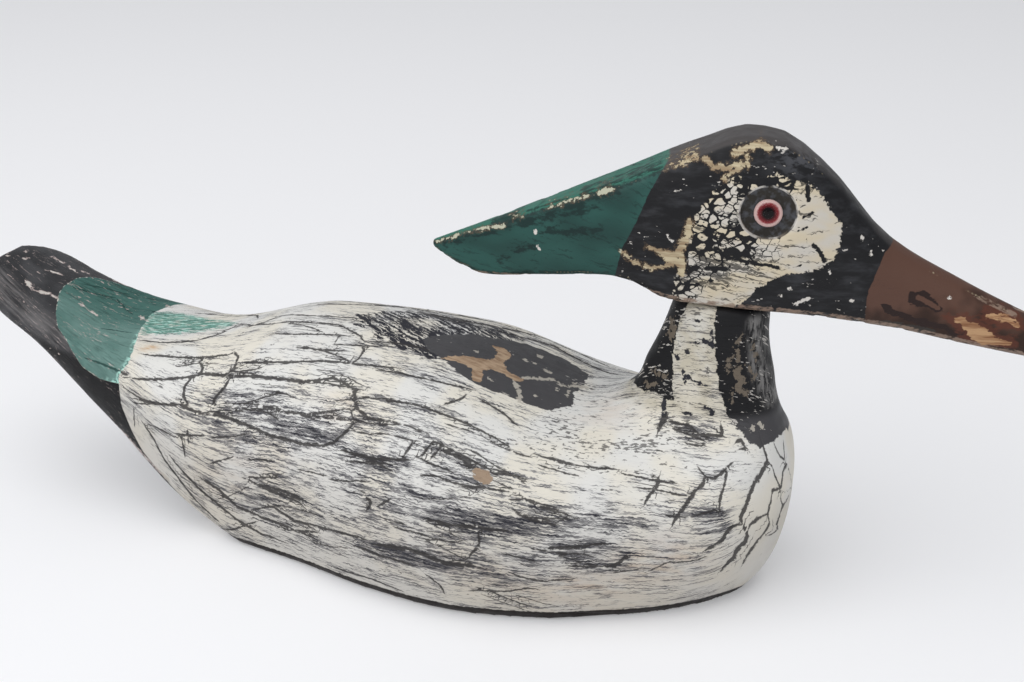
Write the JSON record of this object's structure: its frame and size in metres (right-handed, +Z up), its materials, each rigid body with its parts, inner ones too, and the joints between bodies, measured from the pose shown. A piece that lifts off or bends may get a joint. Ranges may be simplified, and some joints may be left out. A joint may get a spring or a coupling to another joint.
{
  "type": "duck decoy",
  "caption": "Carved and painted wooden merganser decoy on a flat underside, with a crested head seated on an upright neck and glass eyes.",
  "frame": {"origin": "middle of the flat underside, on the surface that the decoy stands on", "axes": "+X towards the bill, +Y to the bird's left, +Z up"},
  "size_m": [0.558, 0.1698, 0.2269],
  "materials": {
    "painted_body": "hand-painted wood, crackled warm white over black, teal band before a charcoal tail, worn to bare wood in places",
    "painted_head": "hand-painted wood, teal crest, black crown and chin, white face patch, brown bill, worn along its arrises",
    "eye_glass": "clear domed glass over a red iris with a pale rim and a black pupil"
  },
  "bodies": {
    "root": {"body": "painted_body", "head": "painted_head", "eye_right": "eye_glass", "eye_left": "eye_glass"}
  },
  "joints": []
}
